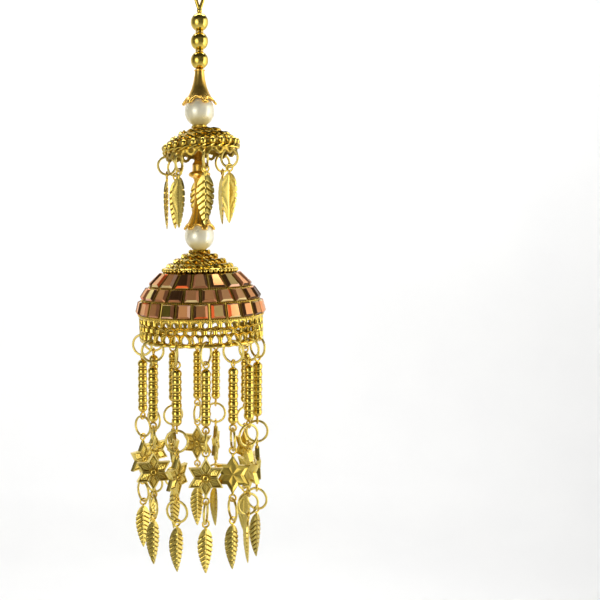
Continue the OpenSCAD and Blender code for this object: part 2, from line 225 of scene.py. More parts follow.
# One object from its parts, with its faces turned outwards and its sharp edges kept
def make(name, parts, material, replaced, sharp=42, tintsAndReflections=None):
    points, quads, groove = join(parts) if isinstance(parts, list) else parts
    mesh = bpy.data.meshes.new(name)
    mesh.from_pydata((points * mm).astype(np.float32), [], quads)
    # the groove mark: painted shade above 0, paler metal below 0, the pearls' painted gold
    # reflection
    layer = mesh.attributes.new("groove", "FLOAT", "POINT")
    layer.data.foreach_set("value", groove.astype(np.float32))
    if tintsAndReflections is not None:
        layer = mesh.attributes.new("tint", "FLOAT_COLOR", "CORNER")
        layer.data.foreach_set("color", np.repeat(tintsAndReflections, 4, 0).astype(np.float32).ravel())
    work = bmesh.new()
    work.from_mesh(mesh)
    bmesh.ops.remove_doubles(work, verts=work.verts, dist=mergeWithin)
    bmesh.ops.recalc_face_normals(work, faces=work.faces)
    work.to_mesh(mesh)
    work.free()
    mesh.polygons.foreach_set("use_smooth", np.ones(len(mesh.polygons), bool))
    mesh.set_sharp_from_angle(angle=math.radians(sharp))
    mesh.materials.append(material)
    piece = bpy.data.objects.new(name, mesh)
    bpy.context.scene.collection.objects.link(piece)
    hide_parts(*replaced)
    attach(piece, "root")
    print(name, len(mesh.polygons), "faces")


# Materials: a wire is a node's socket, and sums on wires add Math nodes
class Wire:
    def __init__(self, tree, socket=None):
        self.tree, self.socket = tree, socket

    def node(self, kind, settings=None, inputs=None, out=0):
        made = self.tree.nodes.new(kind)
        for key, value in (settings or {}).items():
            if key == "stops":
                while len(made.color_ramp.elements) < len(value):
                    made.color_ramp.elements.new(0.5)
                for stop, (at, colour) in zip(made.color_ramp.elements, value):
                    stop.position, stop.color = at, (*colour, 1)
            else:
                setattr(made, key, value)
        for key, value in (inputs or {}).items():
            if isinstance(value, Wire):
                self.tree.links.new(value.socket, made.inputs[key])
            else:
                made.inputs[key].default_value = value
        return Wire(self.tree, made.outputs[out]) if len(made.outputs) else made

    def maths(self, operation, a, b):
        return self.node("ShaderNodeMath", {"operation": operation}, {0: a, 1: b})

    def __add__(self, other): return self.maths("ADD", self, other)
    def __radd__(self, other): return self.maths("ADD", other, self)
    def __sub__(self, other): return self.maths("SUBTRACT", self, other)
    def __rsub__(self, other): return self.maths("SUBTRACT", other, self)
    def __mul__(self, other): return self.maths("MULTIPLY", self, other)
    def __rmul__(self, other): return self.maths("MULTIPLY", other, self)


def startMaterial(name):
    # an empty material, its tree, and the wire of the Object coordinates
    material = bpy.data.materials.new(name)
    material.use_nodes = True
    material.node_tree.nodes.clear()
    tree = Wire(material.node_tree)
    return material, tree, tree.node("ShaderNodeTexCoord", out=3)


def endMaterial(tree, inputs):
    shader = tree.node("ShaderNodeBsdfPrincipled", None, inputs)
    tree.node("ShaderNodeOutputMaterial", None, {"Surface": shader})


def mixed(tree, factor, a, b):
    def colour(c):
        return c if isinstance(c, Wire) else (*c, 1)

    return tree.node("ShaderNodeMix", {"data_type": "RGBA", "clamp_factor": True},
                     {0: factor, 6: colour(a), 7: colour(b)}, 2)


def noise(tree, spot, scale, detail):
    return tree.node("ShaderNodeTexNoise", None,
                     {"Vector": spot, "Scale": scale, "Detail": detail})


def stored(tree, name, out):
    # what the mesh stores at each place: out 0 is a colour, 2 a number
    return tree.node("ShaderNodeAttribute", {"attribute_name": name}, out=out)


def dents(tree, height, depth, strength):
    return tree.node("ShaderNodeBump", None,
                     {"Height": height, "Distance": depth, "Strength": strength})


# hollow is the colour of the painted shade laid on the hollows, creases and shaded faces
goldLook = dict(bright=(0.75, 0.56, 0.11), warm=(0.70, 0.44, 0.055), smooth=0.13,
                cloud=140, cloudFrom=0.35, cloudGain=1.6,
                grain=2600, grainRough=0.08, dent=0.00001, dentStrength=0.35,
                hollow=(0.13, 0.08, 0.012), paintedShadeMix=0.85, hollowRough=0.45,
                pale=(0.73, 0.63, 0.21), paleMix=0.75, paleRough=0.3)
# the cast caps and stem tube: a brighter, more orange, rougher copy of the gold, its orange partly
# the cast metal's tone and partly painted reflection of the gold round it
warmLook = dict(goldLook, bright=(0.98, 0.63, 0.13), warm=(0.92, 0.50, 0.07), smooth=0.24)


def goldMaterial(name, look):
    # plating: the two golds in soft clouds, painted shade in the hollows, creases and shaded
    # faces, which are also duller, paler on the jump rings, leaves and stars, with a faint casting
    # grain
    material, tree, spot = startMaterial(name)
    cloud = noise(tree, spot, look["cloud"], 3.0)
    grain = noise(tree, spot, look["grain"], 2.0)
    mark = stored(tree, "groove", 2)
    # the mark above 0 is where shade is painted, below 0 the paler metal
    groove = tree.maths("MAXIMUM", mark, 0.0)
    pale = tree.maths("MAXIMUM", 0.0 - mark, 0.0)
    cloudy = (cloud - look["cloudFrom"]) * look["cloudGain"]
    base = mixed(tree, cloudy, look["bright"], look["warm"])
    base = mixed(tree, pale * look["paleMix"], base, look["pale"])
    base = mixed(tree, groove * look["paintedShadeMix"], base, look["hollow"])
    rough = ((grain - 0.5) * look["grainRough"] + look["smooth"]
             + groove * look["hollowRough"] + pale * look["paleRough"])
    bump = dents(tree, grain, look["dent"], look["dentStrength"])
    endMaterial(tree, {"Base Color": base, "Metallic": 1.0, "Roughness": rough, "Normal": bump})
    return material


# low is the colour of the painted reflection of the gold below the pearls
pearlLook = dict(body=(0.92, 0.84, 0.56), pale=(0.97, 0.92, 0.72), low=(0.95, 0.80, 0.30),
                 goldReflectionMix=0.8, cloud=260.0, rough=0.2, cloudRough=0.2, metal=0.2, coat=0.8,
                 coatRough=0.12, shine=0.8, lines=1400.0, dent=0.00002, dentStrength=0.3)


def pearlMaterial():
    # ivory nacre: a pale body with faint clouds and wavering lines, with a painted yellow
    # reflection of the gold below, under a clear gloss
    look = pearlLook
    material, tree, spot = startMaterial("pearl_lustre")
    cloud = noise(tree, spot, look["cloud"], 4.0)
    body = mixed(tree, cloud, look["body"], look["pale"])
    body = mixed(tree, stored(tree, "groove", 2) * look["goldReflectionMix"], body, look["low"])
    bump = dents(tree, noise(tree, spot, look["lines"], 2.0), look["dent"], look["dentStrength"])
    endMaterial(tree, {"Base Color": body, "Roughness": cloud * look["cloudRough"] + look["rough"],
                       "Metallic": look["metal"], "Coat Weight": look["coat"],
                       "Coat Roughness": look["coatRough"], "Specular IOR Level": look["shine"],
                       "Normal": bump})
    return material


mirrorLook = dict(smear=(0.28, 0.14, 0.05), smearMix=0.25, smears=420.0, rough=0.04,
                  smearRough=0.08, metal=0.5)


def mirrorMaterial():
    # rose-copper mirrored glass: each facet's own tint with painted reflections, with faint smears
    look = mirrorLook
    material, tree, spot = startMaterial("rose_mirror")
    smear = noise(tree, spot, look["smears"], 3.0)
    base = mixed(tree, smear * look["smearMix"], stored(tree, "tint", 0), look["smear"])
    endMaterial(tree, {"Base Color": base, "Metallic": look["metal"],
                       "Roughness": smear * look["smearRough"] + look["rough"],
                       "Specular IOR Level": 0.0})
    return material


gold = goldMaterial("polished_gold", goldLook)
warmGold = goldMaterial("warm_gold", warmLook)
pearl = pearlMaterial()
mirror = mirrorMaterial()
print("materials made")

# The stem
stem = dict(bead=2.9, beadDrops=(2.9, 8.95, 15.0), bore=0.8, pearl=4.95, pearlDrops=(31.29, 71.89),
            spacerDrops=(5.925, 11.975), spacerR=1.2, spacerWire=0.2, rows=44, sides=72,
            lipTurn=0.02, lipDepth=0.12, goldReflectionGain=1.6, goldReflectionFrom=0.3)


def drilled(radius, drop, goldReflection=0.0):
    # a ball with its bore, its lips a little rounded, and a painted gold reflection below as asked
    s = stem
    lip = math.asin(s["bore"] / radius) + s["lipTurn"]
    t = np.linspace(lip, np.pi - lip, s["rows"])
    h = radius * math.cos(lip) - s["lipDepth"]
    line = np.concatenate([np.stack([radius * np.sin(t), drop - radius * np.cos(t)], -1),
                           [[s["bore"], drop + h], [s["bore"], drop - h]]])
    low = np.clip((line[:, 1] - drop) / radius * s["goldReflectionGain"] - s["goldReflectionFrom"], 0, 1)
    return turned(line, s["sides"], low * goldReflection)


for n, drop in enumerate(stem["beadDrops"], 1):
    make(f"bead{n}", drilled(stem["bead"], drop), gold, [f"gold_bead_{n}"])
for n, drop in enumerate(stem["pearlDrops"], 1):
    make(f"pearl{n}", drilled(stem["pearl"], drop, 1.0), pearl, [f"pearl_{n}"])
for n, drop in enumerate(stem["spacerDrops"], 1):
    make(f"spacer{n}", band(stem["spacerR"], drop, stem["spacerWire"], 40), gold, [f"spacer_{n}"])

trumpet = dict(drops=(17.94, 58.54), mouths=(5.6, 5.1), length=11.2, neck=1.5, flare=2.6,
               petals=6, turn=-9, tip=0.6, archDrop=0.5, wall=0.5, rim=0.4, rimLift=0.15,
               collar=0.2, collarDrop=0.25, rows=44, sides=240)


def trumpetCap(top, mouth):
    # horn radius neck + u + (mouth - neck - 1) u^flare; round arches cut its foot, as high over a
    # point as sqrt(R^2 - x^2) - archDrop, where x is how far it lies from the arch's middle
    c = trumpet
    half = np.pi / c["petals"]
    a = circle(c["sides"])
    off = (a - math.radians(c["turn"]) + half) % (2 * half) - half
    archR = mouth * math.sin(half) - c["tip"]

    def horn(u):
        return c["neck"] + u + (mouth - c["neck"] - 1) * u**c["flare"]

    rise = 0 * a
    for _ in range(12):     # the radius at the arch depends on its height, so it settles
        x = horn(1 - rise / c["length"]) * np.sin(off)
        rise = np.maximum(np.sqrt(np.maximum(archR**2 - x**2, 0)) - c["archDrop"], 0)
    u = np.linspace(0, 1, c["rows"])[:, None] * (1 - rise / c["length"])

    def face(inset):
        # the wall is thinner at the neck
        return polar(horn(u) - inset * (0.4 + 0.6 * u), a, zOf(top + u * c["length"]))

    outer, inner = face(0), face(c["wall"])
    shell = grid(np.concatenate([outer, inner[::-1]]), True)
    edge = 0.6 * outer[-1] + 0.4 * inner[-1] + [0, 0, c["rimLift"]]
    lip = tube(edge, c["rim"], wireSides, True, polar(1, a, 0))
    collar = band(c["neck"] + 0.1, top + c["collarDrop"], c["collar"], 48)
    return [shell, lip, collar]


for n, (drop, mouth) in enumerate(zip(trumpet["drops"], trumpet["mouths"]), 1):
    make(f"trumpetCap{n}", trumpetCap(drop, mouth), warmGold, [f"trumpet_cap_{n}"], sharp=50)

cup = dict(seat=5.1, seatTo=2.3, dot=(0.36, 0.3, 0.34), dotR=2.42, dotDrop=36.35, dots=16,
           side=[[2.45, 35.95], [2.5, 36.3], [2.35, 36.8], [2.05, 37.25], [1.6, 37.49],
                 [0.8, 37.49]])
t = np.linspace(math.asin(stem["bore"] / cup["seat"]), math.asin(cup["seatTo"] / cup["seat"]), 14)
cupLine = np.stack([cup["seat"] * np.sin(t), stem["pearlDrops"][0] + cup["seat"] * np.cos(t)], -1)
cupDot = ball(cup["dot"], (0, -cup["dotR"], zOf(cup["dotDrop"])))
make("pearlCup", [turned(np.concatenate([cupLine, cup["side"]]), 64),
                  around(cupDot, steps(cup["dots"]))], gold, ["pearl_cup"])

tubeLine = [[0.85, 39.64], [1.75, 39.64], [1.82, 40.2], [1.75, 41], [1.75, 47.2], [1.85, 47.7],
            [2.3, 48.2], [2.38, 48.8], [2.38, 50.2], [2.5, 50.84], [3.0, 51.0], [3.45, 51.3],
            [3.6, 51.75], [3.5, 52.25], [3.0, 52.6], [2.3, 52.85], [1.9, 53.3], [1.65, 54.8],
            [1.6, 58.39], [0.85, 58.39]]
make("stemTube", turned(tubeLine, 64), warmGold, ["stem_tube"])
print("stem made")

# Leaves, with chevron grooves and a rib, on their jump rings. A groove is cut this wide, as a
# share of the pitch, and the grooves take up ribSpan of the blade.
leafShape = dict(neck=1.5, ratio=0.355, thick=0.32, slope=0.75, depth=0.36, notch=0.17,
                 rib=0.16, ribHalf=0.17, ribSpan=0.86, ribStart=0.07, cut=0.11, pad=0.10,
                 wave=0.03, waves=14, facePale=0.5, backPale=0.45, rows=104, across=15)
link = dict(eye=1.05, eyeWire=0.32, wire=0.4, play=0.12, hang=0.2, pale=0.5)
linkDrop = link["wire"] + link["eyeWire"] + link["play"]
eyeRing = hoop(link["eye"], link["eyeWire"], 26)


def leaf(length, ribs, crease):
    # half width W/2 sin(pi u^0.7)^0.75; front y = -T + crease |x| + groove depth, and back
    # y = T + crease |x|
    s = leafShape
    u = (np.linspace(0, 1, s["rows"])**0.97)[:, None]
    front = np.linspace(-1, 1, 2 * s["across"] + 1)
    v = np.concatenate([front, np.linspace(1, -1, s["across"])[1:-1]])[None]
    ahead = np.concatenate([np.ones_like(front), np.zeros(s["across"] - 2)])[None]
    full = np.maximum(np.sin(np.pi * u**0.7), 0)
    half = length * s["ratio"] / 2 * full**0.75
    pitch = s["ribSpan"] / ribs

    def cut(x):
        p = (u - s["slope"] * x / length - s["ribStart"]) / pitch
        ends = (p > 0) * np.clip((0.97 - u) / 0.06, 0, 1)
        return np.exp(-((p % 1 - 0.5) / s["cut"])**4) * ends

    x = v * half * (1 - s["notch"] * cut(half) * np.abs(v)**5)
    mid = np.clip((np.abs(x) - 0.14) / 0.2, 0, 1)
    groove = cut(np.abs(x)) * mid * ahead
    thick = s["thick"] * full**0.35
    pad = s["pad"] * (1 - (2 * np.abs(v) - 1)**2) * mid * full
    rib = s["rib"] * np.exp(-(x / s["ribHalf"])**2) * full**0.3
    face = -thick + s["depth"] * groove * full**0.3 - pad - rib
    y = crease * np.abs(x) + np.where(ahead > 0, face, thick)
    back = s["wave"] * np.sin(x * s["waves"]) * (1 - ahead) * full
    # the chevron grooves get painted shade; the pads and the back get the paler metal
    pale = s["facePale"] * (1 - groove) * ahead + s["backPale"] * (1 - ahead)
    blade = grid(np.stack([x, y + back, -s["neck"] - u * length + 0 * v], -1), False,
                 groove - pale)
    neck = post((-1.0, -1.3, -1.7, -2.3), (0.4, 0.42, 0.46, 0.3))
    return join([blade, neck, hoop(link["eye"], link["eyeWire"], 28)])


def held(radius, azimuth, cut):
    # a jump ring hanging from the origin
    ring = place(hoop(radius, link["wire"], 44, cut), azimuth, (0, 0, -radius))
    return ring[0], ring[1], ring[2] - link["pale"]


def eyeBelow(radius):
    return 2 * radius - linkDrop + link["eye"]


small = dict(drop=37.94, tilt=5.5, lobes=16, firstLobe=6, drum=11.8, holeDrop=6.75, holeR=0.95,
             mid=11.5, ringR=2.9, leaf=16.2, ribs=7)
# Each leaf: its hole, how its ring and its blade are turned, and its crease
dropRows = [(0, 75, -10, 0.08), (2, -28, 158, 0.2), (6, 35, 105, 0.2), (-8, 82, -10, 0.2),
            (-6, -30, 55, 0.2), (-4, 8, 85, 0.2), (-2, 70, 138, 0.2)]
dropTop = zOf(small["drop"] + small["holeDrop"] + small["holeR"] - link["wire"] - link["hang"])
for n, (hole, ringTurn, leafTurn, crease) in enumerate(dropRows):
    azimuth = math.radians(small["firstLobe"] + hole * 360 / small["lobes"])
    at = tipped(polar(small["mid"], azimuth, dropTop), small["drop"], small["tilt"])
    blade = place(leaf(small["leaf"], small["ribs"], crease), leafTurn,
                  (0, 0, -eyeBelow(small["ringR"])))
    parts = [held(small["ringR"], ringTurn, 60 + 50 * n), blade]
    make(f"leafDrop{n + 1}", place(join(parts), 0, at), gold, [f"leaf_drop_{n + 1}"], sharp=38)
print("leaves made")


# Pierced plates: rings from a hole's edge out to an outline, laid on a drum
def polarRadius(outline, angles):
    # distance from the origin to a closed outline in each direction
    tiny, slack = 1e-9, 1e-6
    a, b = np.asarray(outline, float), np.roll(np.asarray(outline, float), -1, 0)
    d = np.stack([np.cos(angles), np.sin(angles)], -1)[:, None]
    e = (b - a)[None]
    cross = d[..., 0] * e[..., 1] - d[..., 1] * e[..., 0]
    cross = np.where(np.abs(cross) < tiny, tiny, cross)
    t = (a[None, :, 0] * e[..., 1] - a[None, :, 1] * e[..., 0]) / cross
    s = (a[None, :, 0] * d[..., 1] - a[None, :, 1] * d[..., 0]) / cross
    return np.where((t > 0) & (s > -slack) & (s < 1 + slack), t, np.inf).min(1)


def plate(outline, hole, drumR, centreDrop, wall, swell):
    # the front swells as swell sin(pi s) between hole and outline, and the back is plain; the
    # plate's point (x, y) goes to the angle x / drumR and the height y
    corners = [np.arctan2(*np.asarray(line, float).T[::-1]) for line in (outline, hole)]
    corners = np.concatenate(corners) % (2 * np.pi)
    angles = np.unique(np.round(np.concatenate([corners, circle(28)]), 4))
    inside, outside = polarRadius(hole, angles), polarRadius(outline, angles)
    s = np.array([0, 0.12, 0.3, 0.5, 0.7, 0.88, 1, 1, 0])[:, None]
    ahead = np.arange(len(s))[:, None] < 7
    r = inside + (outside - inside) * s
    height = np.where(ahead, swell * np.sin(np.pi * s), -wall)
    x, y = r * np.cos(angles), r * np.sin(angles)
    # the back faces get painted shade, the front none
    return grid(polar(drumR + height, x / drumR, zOf(centreDrop) + y), True,
                np.where(ahead, 0, 0.85))


def shellLine(line, wall, each):
    # an outer line, and the same line set in by the wall, ending level with it
    outer = soften(line, each)
    across = unit(np.gradient(outer, axis=0)) @ np.array([[0, 1], [-1, 0]])
    inner = (outer + wall * across)[::-1]
    inner[:, 0] = np.maximum(inner[:, 0], stem["bore"])
    inner[:, 1] = np.minimum(inner[:, 1], outer[-1, 1])
    return np.concatenate([outer, inner])


# The small dome: a roped crown, a ring of beads, a rope and a skirt of pointed lobes
crown = [[0.9, -0.3], [2.6, -0.35], [4, -0.25], [6, 0.2], [8, 1.15], [9.6, 2.3], [11, 3.6],
         [11.7, 4.6], [11.8, 5.6], [11.8, 6.1]]
crownRopes = [(3.5, -0.15, 0.42, -4, 24, 1.2, 7, 20), (6.1, 0.5, 0.5, -7, 20, 1.4, 7, 9),
              (9.0, 2.15, 0.5, -10, 20, 1.4, 7, 0), (10.5, 2.95, 0.32, -15, 16, 1.25, 6, 0),
              (12.0, 5.85, 0.44, 13, 20, 1.1, 7, 0)]
crownBead = ball((1.12, 1.05, 1.12), (0, -11.95, zOf(small["drop"] + 4.4)), 13, 20)

# A lobe's outline, with round notches of radius 1.25 between the lobes, and its hole
lobeHalf = math.pi * small["drum"] / small["lobes"]
lobeNotch = [(lobeHalf - math.sqrt(max(1.25**2 - (8.6 - d)**2, 0)), small["holeDrop"] - d)
             for d in (7.36, 7.5, 7.7, 7.95, 8.2)]
lobe = ([(lobeHalf, 0.95), (lobeHalf, -0.6)] + lobeNotch
        + [(0.55, -1.62), (0, -1.85), (-0.55, -1.62)]
        + [(-x, y) for x, y in lobeNotch[::-1]] + [(-lobeHalf, -0.6), (-lobeHalf, 0.95)])
lobeHole = [(0.85 * math.cos(a), 0.85 * math.sin(a)) for a in circle(20)]
lobePlate = plate(lobe, lobeHole, small["drum"], small["drop"] + small["holeDrop"], 0.75, 0.1)
# painted shade on the crown's shell between the ropes and on the skirt of lobes
smallParts = [shadedAndDulled(turned(shellLine(lowered(crown, small["drop"]), 0.8, 6), 96), 0.7),
              shadedAndDulled(around(lobePlate, steps(small["lobes"], small["firstLobe"])), 0.5)]
smallParts += ropes(small["drop"], crownRopes) + [around(crownBead, steps(24, 3))]
make("smallDome", lean(join(smallParts), small["drop"], small["tilt"]), gold, ["small_dome"])
print("small dome made")

# The large dome: filigree cap, shell with gold straps, mirror stones and pierced gallery
large = dict(cap=76.09, pivot=76.49, tilt=1.2, holes=40, holeStart=3.5, drum=20.4, wall=0.8,
             hangR=20.0)
capTop = large["cap"]
capLine = [[2.1, 0.3], [3, 1.3], [4, 2.2], [5.4, 3], [6.8, 3.9], [8.2, 4.8], [9.8, 5.7],
           [11.4, 6.2], [12.2, 6.9]]
capRopes = [(3.0, 1.2, 0.4, -4, 24, 1.15, 7, 20), (5.1, 2.8, 0.5, -6, 24, 1.4, 7, 8),
            (7.8, 4.4, 0.5, -9, 20, 1.4, 7, 0), (10.2, 5.95, 0.48, -12, 20, 1.35, 7, 5)]
capBead = ball((0.74, 0.7, 0.72), (0, -12.15, zOf(capTop + 7.05)), 9, 12)
# a little painted shade on the cap's shell under its ropes
capParts = [shadedAndDulled(turned(shellLine(lowered(capLine, capTop), 0.7, 4), 96), 0.1)]
capParts += ropes(capTop, capRopes) + [around(capBead, steps(44))]
make("domeCap", lean(join(capParts), large["pivot"], large["tilt"]), gold, ["dome_cap"])

rowLine = lowered([[12.2, 8.4], [16.65, 12.8], [19.33, 16.9], [20.6, 21.7]], capTop)
shellOuter = np.array(lowered([[0.9, 5.9], [9.6, 7.3]], capTop) + rowLine)
shellInner = shellOuter[::-1] + [-large["wall"], large["wall"]]
shellInner[:, 0] = np.maximum(shellInner[:, 0], shellOuter[0, 0])
shellInner[:, 1] = np.minimum(shellInner[:, 1], shellOuter[-1, 1])
mirrorRows = dict(counts=(18, 22, 24), gap=0.85, margin=0.3, lift=0.2, girdle=0.55, thick=1.2,
                  corner=0.15, sideBevel=0.8, endBevel=0.45, sway=1.3, strap=0.3, strapOut=0.32)
# Tints with painted reflections: the tables' with their odds and their range of brightness, the
# bevels', the sides'
tableTintsAndReflections = np.array([[0.80, 0.36, 0.14], [0.50, 0.22, 0.08], [0.92, 0.46, 0.20],
                       [0.07, 0.03, 0.012], [0.95, 0.64, 0.24], [0.17, 0.14, 0.02]])
tableOdds, tableRange = [0.31, 0.18, 0.15, 0.17, 0.1, 0.09], (0.95, 1.27)
bevelReflections = np.array([[0.50, 0.20, 0.09], [0.85, 0.13, 0.03], [1.0, 0.76, 0.34],
                       [0.10, 0.045, 0.02], [0.95, 0.55, 0.36]])
sideTint = (0.42, 0.24, 0.06)
# Odds of the painted reflections for a stone's foot, right, top and left bevels: darker sides,
# paler top and foot
bevelReflectionOdds = np.array([[0.34, 0.14, 0.18, 0.22, 0.12], [0.30, 0.11, 0.06, 0.46, 0.07],
                      [0.30, 0.06, 0.20, 0.32, 0.12], [0.30, 0.11, 0.06, 0.46, 0.07]])
bevelReflectionSums = np.cumsum(bevelReflectionOdds, 1)[:, :-1]


def stone(topW, footW, h, sway):
    # foot, girdle and table octagons; the facets share no points, so that each stays flat
    m = mirrorRows
    c, g = m["corner"], m["girdle"]
    t, f, y = topW / 2, footW / 2, h / 2

    def octagon(side, end, z):
        x0, x1, y0 = f - side, t - side, y - end
        return np.array([[-x0 + c, -y0, z], [x0 - c, -y0, z], [x0, -y0 + c, z], [x1, y0 - c, z],
                         [x1 - c, y0, z], [-x1 + c, y0, z], [-x1, y0 - c, z], [-x0, -y0 + c, z]])

    foot, low, high = octagon(0, 0, 0), octagon(0, 0, g - 0.05), octagon(0.06, 0.06, g + 0.02)
    table = octagon(m["sideBevel"], m["endBevel"], m["thick"])
    i = np.arange(8)
    j = (i + 1) % 8
    rings = ((foot, low), (low, high), (high, table))
    sides = [np.stack([p[i], p[j], q[j], q[i]], 1) for p, q in rings]
    caps = [foot[np.array([[3, 2, 1, 0], [7, 4, 3, 0], [7, 6, 5, 4]])],
            table[np.array([[0, 1, 2, 3], [0, 3, 4, 7], [4, 5, 6, 7]])]]
    faces = np.concatenate(sides + caps)        # 16 sides, 8 bevels, 3 of the foot, 3 of the table
    tip = np.radians(sway)
    z = faces[..., 2] + faces[..., 0] * math.sin(tip[0]) + faces[..., 1] * math.sin(tip[1])
    return np.stack([faces[..., 0], faces[..., 1], z], -1)


def stoneTintAndReflections():
    # one tint with painted reflections for each of a stone's 30 faces, each of the four bevels
    # drawing its own
    tint = np.tile(tableTintsAndReflections[chance.choice(len(tableTintsAndReflections), p=tableOdds)]
                   * chance.uniform(*tableRange), (30, 1))
    tint[:16] = sideTint
    tint[16:24] = np.repeat(bevelReflections[(chance.random((4, 1)) > bevelReflectionSums).sum(1)], 2, 0)
    return np.concatenate([np.minimum(tint, 1), np.ones((30, 1))], 1)


straps, stones, tintsAndReflections = [turned(np.concatenate([shellOuter, shellInner]), 120)], [], []
for n, count in enumerate(mirrorRows["counts"]):
    m = mirrorRows
    upper, lower = np.array(rowLine[n]), np.array(rowLine[n + 1])
    slope = math.atan2(lower[1] - upper[1], lower[0] - upper[0])
    sine, cosine = math.sin(slope), math.cos(slope)
    side = 2 * math.tan(math.pi / count)
    topW = (upper[0] + (m["margin"] + m["lift"]) * cosine) * side - m["gap"]
    footW = (lower[0] - m["margin"] * cosine) * side - m["gap"]
    high = np.linalg.norm(lower - upper) - 2 * m["margin"]
    middle = [0, -((upper[0] + lower[0]) / 2 + m["lift"] * sine),
              zOf((upper[1] + lower[1]) / 2 - m["lift"] * cosine)]
    tilt = np.array([[1, 0, 0], [0, cosine, -sine], [0, sine, cosine]])
    for k in range(count):
        faces = stone(topW, footW, high, chance.normal(0, m["sway"], 2)) @ tilt.T
        stones.append(spin(faces + middle, (k + 0.5 * n) * 360 / count))
        tintsAndReflections.append(stoneTintAndReflections())
    path = np.linspace(upper, lower, 8)
    strap = np.stack([np.zeros(8), -(path[:, 0] + m["strapOut"] * sine),
                      zOf(path[:, 1] - m["strapOut"] * cosine)], -1)
    # painted shade on the straps between the stones
    strap = shadedAndDulled(tube(strap, m["strap"], 8, False, (1, 0, 0)), 0.4)
    straps.append(around(strap, steps(count, (0.5 * n + 0.5) * 360 / count)))
    straps.append(rope(upper[0] + 0.2, upper[1] - 0.1, 0.16, int(upper[0] * 4.2), 7))
straps.append(rope(20.65, capTop + 21.75, 0.24, 84, 7))
make("domeShell", lean(join(straps), large["pivot"], large["tilt"]), gold, ["dome_shell"])
stonePoints = np.concatenate(stones).reshape(-1, 3)
stoneQuads = np.arange(len(stonePoints)).reshape(-1, 4)
stonePart = (stonePoints, stoneQuads, np.zeros(len(stonePoints)))
make("mirrorStones", lean(stonePart, large["pivot"], large["tilt"]), mirror,
     ["mirror_row_1", "mirror_row_2", "mirror_row_3"], sharp=4,
     tintsAndReflections=np.concatenate(tintsAndReflections))

# Gallery cells: their webs meet on the lines of a honeycomb
step = 360 / large["holes"]
reach = 2 * math.pi * large["drum"] / large["holes"] / 2 + 0.01
firstRow, rowPitch = capTop + 21.8 + 0.6 + 1.15, 2.15
holeLow = firstRow + 2 * rowPitch + 1.5
hexHole = [(0, 0.88), (-0.92, 0.42), (-0.92, -0.42), (0, -0.88), (0.92, -0.42), (0.92, 0.42)]
archHole = [(0, 1.2), (-0.45, 0.7), (-0.85, 0.1), (-1.05, -0.6), (-0.9, -1.15), (-0.5, -1.4),
            (0.5, -1.4), (0.9, -1.15), (1.05, -0.6), (0.85, 0.1), (0.45, 0.7)]
peak, left, right = (0, 1.455), [(-reach, 0.71), (-reach, -0.71)], [(reach, -0.71), (reach, 0.71)]
cells = [([(-reach, 1.75), left[1], (0, -1.455), right[0], (reach, 1.75)], hexHole),
         ([peak] + left + [(0, -1.455)] + right, hexHole),
         ([peak, left[0], (-reach, -1.7), (reach, -1.7), right[1]], archHole)]
galleryParts = []
for row, (outline, hole) in enumerate(cells):
    cell = plate(outline[::-1], hole, large["drum"] - 0.05, firstRow + row * rowPitch,
                 large["wall"] - 0.1, 0.36)
    cellStart = large["holeStart"] + 0.5 * (row % 2) * step
    galleryParts.append(around(cell, steps(large["holes"], cellStart)))
rimTurn = circle(320) - math.radians(large["holeStart"] + 0.5 * step)
rimWire = 0.55 + 0.12 * np.cos(large["holes"] * rimTurn)
galleryParts += [band(large["hangR"], holeLow + 0.66, rimWire, 320, 12),
                 rope(20.45, firstRow - 1.5, 0.22, 60, 8)]
make("gallery", lean(join(galleryParts), large["pivot"], large["tilt"]), gold, ["gallery"],
     sharp=50)
print("large dome made")

# Strands: ring, beaded bar, ring, star, ring and leaf
strand = dict(ringR=3.45, bead=1.625, beads=7, pitch=2.5, end=1.2, starR=6.3, starEye=7.7,
              leaf=14.7, ribs=8, crease=0.38)
barShape = dict(mouth=0.32, flat=0.8, pin=0.42, pinEnd=1.15, waist=1.15, collar=1.34,
                collarSwell=0.12, collarHalf=0.311, collarDrop=0.48)
barLength = 2 * strand["bead"] + (strand["beads"] - 1) * strand["pitch"] + 2 * strand["end"]


def beadedBar(topTurn, footTurn):
    # balls of radius b, cut flat and a pitch apart; each waist has a crease of painted shade, a
    # rounded collar of radius collar + swell sqrt(1 - (h / half)^2), and a fainter line of painted
    # shade
    s, b, n = barShape, strand["bead"], strand["beads"]
    side = math.acos(s["flat"] / b)
    line = [[0, -s["pinEnd"]], [s["pin"], -s["pinEnd"]], [0.5, -1.3]]
    # dark: painted shade at each point of the line, darkest in the creases between beads and
    # collars
    dark = [0, 0, 0.3]
    for k in range(n):
        centre = -(strand["end"] + b) - k * strand["pitch"]
        first, last = (s["mouth"] if k == end else side for end in (0, n - 1))
        t = np.linspace(first, np.pi - last, 13)
        line += [[b * math.sin(a), centre + b * math.cos(a)] for a in t]
        dark += [0.1] + [0] * 11 + [0.3]
        if k < n - 1:
            foot = centre - s["flat"]
            line += [[s["waist"], foot - 0.03], [s["waist"], foot - 0.14]]
            dark += [1, 1]
            for h in (0.31, 0.27, 0.15, 0, -0.15, -0.27, -0.31):
                swell = s["collarSwell"] * math.sqrt(1 - (h / s["collarHalf"])**2)
                line.append([s["collar"] + swell, foot - s["collarDrop"] + h])
                dark.append(0.25 if abs(h) > 0.3 else 0)
            line.append([1.3, foot - 0.84])
            dark.append(0.5)
    line += [[0.5, -barLength + 1.3], [s["pin"], -barLength + s["pinEnd"]],
             [0, -barLength + s["pinEnd"]]]
    dark += [0.3, 0, 0]
    return [lathe(line, 28, False, np.array(dark)), place(eyeRing, topTurn),
            place(eyeRing, footTurn, (0, 0, -barLength))]


